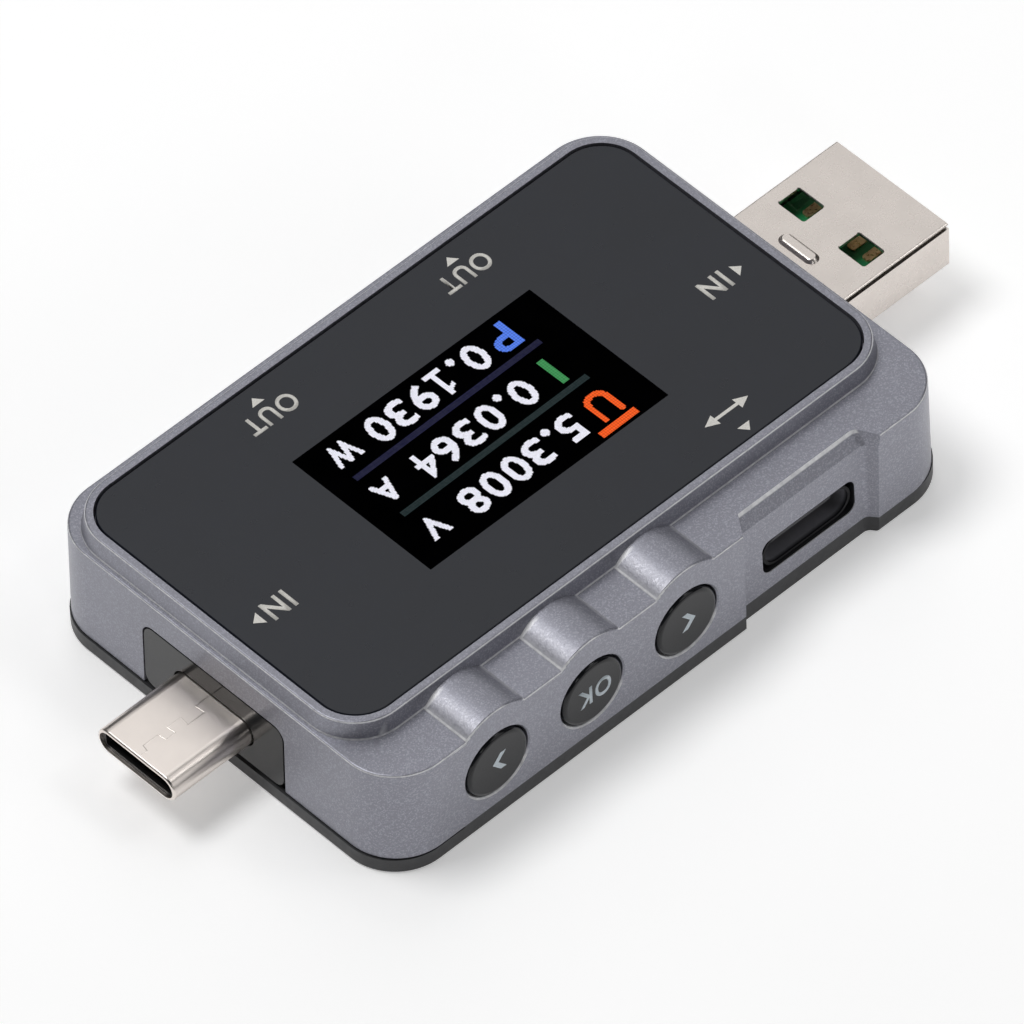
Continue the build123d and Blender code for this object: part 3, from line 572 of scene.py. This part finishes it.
def make_panel(film, black):
    """The panel as a sheet with a flush window in it."""
    low, high = (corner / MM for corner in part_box("front_panel"))
    centre = ((low.x + high.x) / 2, (low.y + high.y) / 2)
    length, width = high.x - low.x, high.y - low.y
    outer = rounded_rectangle(centre, length, width, PANEL_R)
    inner = rounded_rectangle(centre, length - 2 * CHAMFER, width - 2 * CHAMFER, PANEL_R - CHAMFER)
    hole = rounded_rectangle(WINDOW_CENTRE, WINDOW_L, WINDOW_W, WINDOW_R, steps=3)
    bm = bmesh.new()
    outside = stacked_loops(bm, [(low.z, outer), (high.z - CHAMFER, outer), (high.z, inner)])
    inside = stacked_loops(bm, [(low.z, hole), (high.z, hole)])
    for level in (0, -1):
        edges = loop_edges(bm, outside[level]) + loop_edges(bm, inside[level])
        bmesh.ops.triangle_fill(bm, use_beauty=True, edges=edges)
    sheet = finish_mesh("panel_sheet", bm, film, CASING)
    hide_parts("front_panel")
    bm = bmesh.new()
    rings = stacked_loops(bm, [(low.z, hole), (high.z - WINDOW_SINK, hole)])
    for ring in (rings[0], rings[-1]):
        bm.faces.new(ring)
    finish_mesh("display_window", bm, black, CASING)
    return high.z


# ---------------------------------------------------------------- display readings
PIXEL_X = 24.91 / 240                # a 1.14 inch display of 240 x 135 cells
PIXEL_Y = 14.864 / 135
PIXEL_T = 0.01
PIXEL_RISE = 0.004                   # how far the lit cells stand over the panel
READING_TILT = math.radians(-0.7)    # the display sits slightly askew behind its window
FIRST_ROW_TOP = 1.34
ROW_PITCH = 4.96
DIGIT_W = 1.8
DIGIT_H = 2.7
DIGIT_INSET = 0.05
DOT = 0.7
UNIT_DROP = 0.5
UNIT_H = 2.24
STROKE = 0.08                        # how much the glyphs are thickened, each way
STROKE_DIRECTIONS = 16
LETTER_TOP = 1.26
LETTER_H = 2.84
DIVIDER_LEFT = 2.86
DIVIDER_TOP = 5.14
DIVIDER_L = 18.98
DIVIDER_W = 0.56
# For each row: the value, its characters' left edges, the unit, and the unit's left edge and width.
ROWS = (
    ("5.3008", (6.38, 8.62, 9.74, 11.9, 14.04, 16.2), "V", 20.0, 1.86),
    ("0.0364", (6.42, 8.7, 9.78, 11.96, 14.12, 16.1), "A", 20.0, 1.86),
    ("0.1930", (6.42, 8.7, 9.86, 11.86, 14.06, 16.18), "W", 19.4, 2.44),
)


def flat_text(text, **settings):
    """A word as a flat mesh; settings are those of the text curve."""
    data = bpy.data.curves.new("text", "FONT")
    data.body = text
    for key, value in settings.items():
        setattr(data, key, value)
    made = add_object("text", data)
    bpy.context.view_layer.update()
    mesh = bpy.data.meshes.new_from_object(made.evaluated_get(bpy.context.evaluated_depsgraph_get()))
    bpy.data.objects.remove(made)
    bpy.data.curves.remove(data)
    return mesh


def glyph_triangles(text):
    """Triangles of a glyph, scaled to a unit square, as an array of triangle, corner, (x, y)."""
    mesh = flat_text(text)
    mesh.calc_loop_triangles()
    corners = np.array([v.co.xy for v in mesh.vertices])
    corners = (corners - corners.min(0)) / (corners.max(0) - corners.min(0))
    triangles = corners[np.array([t.vertices[:] for t in mesh.loop_triangles])]
    bpy.data.meshes.remove(mesh)
    return triangles


def covered(triangles, points):
    """Which points lie in any of the triangles."""
    a, b, c = (triangles[:, None, i] for i in range(3))

    def side(start, end):
        along, away = end - start, points[None] - start
        return along[..., 0] * away[..., 1] - along[..., 1] * away[..., 0]

    signs = np.stack([side(a, b), side(b, c), side(c, a)])
    return (np.all(signs >= 0, axis=0) | np.all(signs <= 0, axis=0)).any(0)


def inside_one(x, y):
    """Which points of the unit square, with y downwards, lie in a figure one that stands on a base."""
    stem_x, flag_x, flag_y, slope = 0.55, 0.12, 0.3, 0.36
    stem = np.abs(x - stem_x) < 0.13
    flag = (x > flag_x) & (x < stem_x) & (np.abs(y - flag_y + slope * (x - flag_x)) < 0.075)
    base = (y > 0.84) & (x > 0.1) & (x < 0.96)
    return (stem | flag | base) & (y >= 0) & (y <= 1)


def glyph_cells(text, left, top, width, height):
    """Display cells covered by a thickened glyph that fills a box measured from the window's upper left."""
    columns = np.arange(math.floor(left / PIXEL_X), math.ceil((left + width) / PIXEL_X) + 1)
    lines = np.arange(math.floor(top / PIXEL_Y), math.ceil((top + height) / PIXEL_Y) + 1)
    grid = np.array([(c, r) for r in lines for c in columns])
    middles = (grid + 0.5) * (PIXEL_X, PIXEL_Y)
    if text == "1":
        local = (middles - (left, top)) / (width, height)
        return grid[inside_one(*local.T)]
    if text in (".", "bar"):
        reach = np.abs(middles - (left + width / 2, top + height / 2)) / (width / 2, height / 2)
        inside = np.hypot(*reach.T) <= 1 if text == "." else reach.max(1) <= 1
        return grid[inside]
    triangles = glyph_triangles(text)
    core = np.array((width - 2 * STROKE, height - 2 * STROKE))
    inside = np.zeros(len(grid), bool)
    for step in range(STROKE_DIRECTIONS + 1):
        angle = math.radians(360 / STROKE_DIRECTIONS * step)
        reach = 0 if step == STROKE_DIRECTIONS else STROKE
        shifted = middles + (reach * math.cos(angle), reach * math.sin(angle))
        local = (shifted - (left + STROKE, top + STROKE)) / core
        inside |= covered(triangles, local * (1, -1) + (0, 1))
    return grid[inside]


def pixel_piece(name, cells, material, top_z):
    """Raise every lit run of cells as one thin bar on the window."""
    lit = {tuple(cell) for cell in cells}
    right = WINDOW_CENTRE[0] + WINDOW_L / 2
    near = WINDOW_CENTRE[1] - WINDOW_W / 2
    bm = bmesh.new()
    for column, line in sorted(lit):
        if (column - 1, line) in lit:
            continue
        end = column
        while (end + 1, line) in lit:
            end += 1
        x0, x1 = column * PIXEL_X, (end + 1) * PIXEL_X
        y0, y1 = line * PIXEL_Y, (line + 1) * PIXEL_Y
        corners = [(right - x, near + y) for x, y in ((x0, y0), (x1, y0), (x1, y1), (x0, y1))]
        corners = turned(corners, WINDOW_CENTRE, -READING_TILT)
        rings = stacked_loops(bm, [(top_z - PIXEL_T, corners), (top_z, corners)])
        bm.faces.new(rings[0])
        bm.faces.new(rings[1])
    return finish_mesh(name, bm, material, CASING)


def make_readings(top_z):
    """Voltage, current and power rows with their letters, bars, values and units."""
    white = []
    for row, (value, lefts, unit, unit_left, unit_width) in enumerate(ROWS):
        top = FIRST_ROW_TOP + ROW_PITCH * row
        for character, left in zip(value, lefts):
            if character == ".":
                white.append(glyph_cells(".", left, top + DIGIT_H - DOT, DOT, DOT))
            else:
                white.append(glyph_cells(character, left + DIGIT_INSET, top, DIGIT_W, DIGIT_H))
        white.append(glyph_cells(unit, unit_left, top + UNIT_DROP, unit_width, UNIT_H))
    surface = top_z + PIXEL_RISE
    voltage = [("U", 3.02, LETTER_TOP, 2.22, LETTER_H), ("bar", 2.68, 0.2, 3.6, 0.64)]
    current = [("bar", 4.02, LETTER_TOP + ROW_PITCH, 0.62, LETTER_H)]
    power = [("P", 3.66, LETTER_TOP + 2 * ROW_PITCH, 2.05, LETTER_H)]
    upper, lower = (
        [("bar", DIVIDER_LEFT, DIVIDER_TOP + ROW_PITCH * row, DIVIDER_L, DIVIDER_W)] for row in range(2)
    )
    coloured = (
        ("voltage_letter", voltage, (1.0, 0.11, 0.006)),
        ("current_letter", current, (0.045, 0.3, 0.09)),
        ("power_letter", power, (0.09, 0.22, 0.9)),
        ("upper_divider", upper, (0.006, 0.018, 0.02)),
        ("lower_divider", lower, (0.003, 0.0035, 0.034)),
    )
    lit_white = lit_pixels("pixels_white", (0.9, 0.9, 1.0), power=1.05)
    pixel_piece("reading_values", np.concatenate(white), lit_white, surface)
    for name, shapes, colour in coloured:
        cells = np.concatenate([glyph_cells(*shape) for shape in shapes])
        pixel_piece(name, cells, lit_pixels("pixels_" + name, colour, group=2), surface)


# ---------------------------------------------------------------- printed marks
INK_T = 0.012
WORD_WEIGHT = 0.02                   # how much words are thickened, as a share of the type size
LETTER_SPACING = 1.12
MERGE = 1e-5                         # corners closer than this are one corner


def unit_word(text):
    """A word as a flat mesh that fills a unit square."""
    mesh = flat_text(text, space_character=LETTER_SPACING, offset=WORD_WEIGHT, resolution_u=12)
    low = Vector([min(v.co[i] for v in mesh.vertices) for i in range(2)] + [0])
    high = Vector([max(v.co[i] for v in mesh.vertices) for i in range(2)] + [1])
    for vertex in mesh.vertices:
        vertex.co = [(vertex.co[i] - low[i]) / (high[i] - low[i]) for i in range(3)]
    return mesh


def thicken(bm, thickness):
    """Turn a flat mesh at z = 0 into a closed plate."""
    grown = bmesh.ops.extrude_face_region(bm, geom=bm.faces[:] + bm.edges[:] + bm.verts[:])
    upper = [item for item in grown["geom"] if isinstance(item, bmesh.types.BMVert)]
    bmesh.ops.translate(bm, vec=(0, 0, thickness), verts=upper)


def printed_text(name, text, centre, size, place, body, slot, material):
    """A word that fills size = (width, height); place turns its plane into the row frame."""
    mesh = unit_word(text)
    bm = bmesh.new()
    bm.from_mesh(mesh)
    bpy.data.meshes.remove(mesh)
    for vertex in bm.verts:
        vertex.co = ((vertex.co.x - 0.5) * size[0] + centre[0], (vertex.co.y - 0.5) * size[1] + centre[1], 0)
    bmesh.ops.remove_doubles(bm, verts=bm.verts[:], dist=MERGE)
    thicken(bm, INK_T)
    bmesh.ops.transform(bm, matrix=place, verts=bm.verts[:])
    return finish_mesh(name, bm, material, body)


def printed_shape(name, outlines, place, body, slot, material):
    """Flat outlines as thin plates of ink."""
    bm = bmesh.new()
    for outline in outlines:
        bm.faces.new([bm.verts.new((x, y, 0)) for x, y in outline])
    bmesh.ops.recalc_face_normals(bm, faces=bm.faces[:])
    thicken(bm, INK_T)
    bmesh.ops.transform(bm, matrix=place, verts=bm.verts[:])
    return finish_mesh(name, bm, material, body)


def triangle(centre, base, height, heading):
    """A small triangle whose tip points along heading, in degrees."""
    shape = [(-height / 2, base / 2), (-height / 2, -base / 2), (height / 2, 0)]
    return turned([(centre[0] + x, centre[1] + y) for x, y in shape], centre, math.radians(heading))


def double_arrow(centre, length, head, line):
    """A plain arrow with a head at both ends."""
    half, tip = length / 2, length / 2 - head
    upper = [(half, 0), (tip, head / 2), (tip, line / 2)]
    right = [(0, line / 2), (0, -line / 2), (tip, -line / 2), (tip, -head / 2)] + upper
    left = [(-x, y) for x, y in right]
    return [[(x + centre[0], y + centre[1]) for x, y in shape] for shape in (right, left)]


def make_labels(top_z, ink):
    """Port labels on the panel, each with a triangle that points to its port."""
    place = Matrix.Translation((0, 0, top_z - INK_T / 2)) @ Matrix.Rotation(math.pi, 4, "Z")
    words = (
        ("label_out_usb_a", "OUT", (9.42, 13.4), (4.66, 1.76)),
        ("label_out_usb_c", "OUT", (-10.2, 13.36), (4.7, 1.78)),
        ("label_in_usb_a", "IN", (21.53, -0.54), (2.3, 1.94)),
        ("label_in_usb_c", "IN", (-22.46, -0.54), (2.3, 1.94)),
    )
    for name, word, (x, y), size in words:
        printed_text(name, word, (-x, -y), size, place, CASING, "panel_print", ink)
    pointers = [
        triangle((-9.46, -15.12), 1.18, 0.74, -90),
        triangle((10.18, -15.12), 1.18, 0.74, -90),
        triangle((-23.86, 0.54), 1.26, 0.74, 180),
        triangle((24.56, 0.54), 1.3, 0.8, 0),
        triangle((-13.43, 12.2), 1.2, 0.74, 90),
    ]
    printed_shape("label_pointers", pointers, place, CASING, "panel_print", ink)
    arrow = double_arrow((-13.45, 10.06), length=4.4, head=1.1, line=0.28)
    printed_shape("label_data_arrow", arrow, place, CASING, "panel_print", ink)


def chevron(side, size, arm):
    """An angle mark that points to side, -1 or 1; arm is how wide each arm is, measured along X."""
    tip, top = size[0] / 2, size[1] / 2
    upper = [(side * tip, 0), (side * (arm - tip), top), (-side * tip, top), (side * (tip - arm), 0)]
    lower = [(x, -y) for x, y in upper]
    return [upper, lower]


MARK_SHIFT = (0.08, 0.12)            # the marks' middle from the cap's middle, along X and Z
MARK_SINK = 0.004
OK_SHIFT = (-0.04, 0.14)
OK_SIZE = (3.24, 1.88)
CHEVRON_SIZE = (1.34, 1.76)
CHEVRON_ARM = 0.56


def make_button_marks(ink):
    """Angle marks on the outer buttons and OK on the middle one, upside down for a viewer at the base."""
    for name in BUTTONS:
        node = f"button_cap_{name}"
        low, high = (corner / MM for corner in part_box(node))
        x = (low.x + high.x) / 2 + MARK_SHIFT[0]
        z = (low.z + high.z) / 2 + MARK_SHIFT[1]
        place = Matrix.Translation((x, low.y - MARK_SINK + INK_T, z))
        place = place @ Matrix.Rotation(math.radians(90), 4, "X")
        printed_on = (f"button_{name}", "button_gloss", ink)
        if name == "middle":
            place = place @ Matrix.Rotation(math.pi, 4, "Z")
            printed_text("mark_ok", "OK", OK_SHIFT, OK_SIZE, place, *printed_on)
        else:
            side = -1 if name == "left" else 1
            printed_shape(f"mark_{name}", chevron(side, CHEVRON_SIZE, CHEVRON_ARM), place, *printed_on)


# ---------------------------------------------------------------- seam of the rolled USB-C shell
SEAM_PATH = (
    (-28.35, 0.71), (-29.86, 0.71), (-29.78, -0.2), (-31.45, -0.2), (-31.38, 0.68), (-32.68, 0.68),
    (-32.6, -0.12), (-33.52, -0.12), (-33.6, 0.62), (-35.1, 0.62), (-35.22, 0.05), (-35.8, 0.05),
)
SEAM_W = 0.07
SEAM_CREST_W = 0.3 * SEAM_W
SEAM_H = 0.012
SEAM_SINK = 0.01
SEAM_ROUND = 0.45                    # radius of the bead's ends, as a share of its width


def make_seam(metal):
    """The interlocked seam along the top of the plug, as a fine bead."""
    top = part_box("usb_c_plug_shell")[1].z / MM
    bm = bmesh.new()
    for (x0, y0), (x1, y1) in zip(SEAM_PATH, SEAM_PATH[1:]):
        length = math.hypot(x1 - x0, y1 - y0)
        middle = ((x0 + x1) / 2, (y0 + y1) / 2)
        heading = math.atan2(y1 - y0, x1 - x0)
        loops = []
        for z, width in ((top - SEAM_SINK, SEAM_W), (top, SEAM_W), (top + SEAM_H, SEAM_CREST_W)):
            bar = rounded_rectangle(middle, length + width, width, SEAM_ROUND * width, steps=2)
            loops.append((z, turned(bar, middle, heading)))
        rings = stacked_loops(bm, loops)
        bm.faces.new(rings[0])
        bm.faces.new(rings[-1])
    finish_mesh("usb_c_plug_seam", bm, metal, CASING)


# ---------------------------------------------------------------- assemble
make_camera()
make_stage()

paint_nodes(["top_shell"], shell_paint())
paint_nodes(["bottom_cover"], moulded_plastic("cover_plastic", (0.03, 0.03, 0.033), 0.45))
paint_nodes(["end_plate"], glossy_plastic("plate_plastic", (0.02, 0.0205, 0.022), 0.13))
paint_nodes(["panel_adhesive"], moulded_plastic("adhesive_foam", (0.01, 0.01, 0.01), 0.8))
paint_nodes(["lcd_glass"], glossy_plastic("display_glass", (0.004, 0.004, 0.005), 0.05))
paint_nodes(["lcd_backlight"], moulded_plastic("backlight_plastic", (0.75, 0.76, 0.76), 0.4))
paint_nodes(["lcd_flex"], glossy_plastic("flex_film", (0.45, 0.18, 0.04), 0.3))
paint_nodes(["main_board"], solder_mask())
plain_nickel = nickel("connector_nickel", 0.7, 0.27)
bright_nickel = nickel("connector_nickel_bright", 0.79, 0.3)
paint_nodes(["usb_a_plug_shell", "crystal", "usb_c_outlet_shell", "usb_a_outlet_shell"], plain_nickel)
paint_nodes(["usb_c_plug_shell"], bright_nickel)
paint_nodes(["data_socket_shell"], socket_shade_and_light())
fine_grain = {"roughness": 0.42, "grain": 0.1, "depth": 0.004}
black_plastic = moulded_plastic("connector_plastic", (0.012, 0.012, 0.013), **fine_grain)
paint_nodes(["usb_c_outlet_tongue", "usb_a_outlet_tongue"], black_plastic)
paint_nodes(["usb_a_plug_support", "usb_a_plug_stop", "usb_c_plug_insulator"], black_plastic)
# its grey is lighter than the other tongues: painted light inside the dark slot
paint_nodes(["data_socket_tongue"], moulded_plastic("tongue_plastic", (0.09, 0.09, 0.095), **fine_grain))
connectors = ("usb_a_plug", "usb_c_plug", "data_socket", "usb_c_outlet", "usb_a_outlet")
paint_nodes([f"{n}_contacts" for n in connectors], gold())
cap_gloss = glossy_plastic("button_gloss", (0.010, 0.0105, 0.0125), 0.14, specular=0.34)
paint_nodes([f"button_cap_{n}" for n in BUTTONS], cap_gloss)
ivory = moulded_plastic("plunger_plastic", (0.6, 0.57, 0.5), 0.4)
paint_nodes([f"switch_plunger_{n}" for n in BUTTONS], ivory)
paint_nodes(["tact_switches"], moulded_plastic("switch_plastic", (0.03, 0.03, 0.03), 0.5))
chip_nodes = [
    "microcontroller", "protocol_controller", "voltage_regulator", "current_shunt", "current_amplifier",
    "power_switches", "chip_resistors",
]
paint_nodes(chip_nodes, moulded_epoxy("chip_epoxy", (0.02, 0.02, 0.021)))
paint_nodes(["power_inductor"], moulded_epoxy("ferrite", (0.09, 0.09, 0.092)))
paint_nodes(["ceramic_capacitors"], moulded_epoxy("ceramic_tan", (0.4, 0.29, 0.17)))
steel = moulded_plastic("screw_steel", (0.2, 0.2, 0.21), 0.35, grain=0.1, depth=0.004, metallic=1.0)
paint_nodes(["cover_screws"], steel)

panel_top = make_panel(panel_film(), window_black())
make_readings(panel_top)
make_labels(panel_top, printed_ink("label_ink", (0.84, 0.82, 0.77)))
make_seam(bright_nickel)
make_button_marks(printed_ink("mark_ink", (0.58, 0.65, 0.7)))
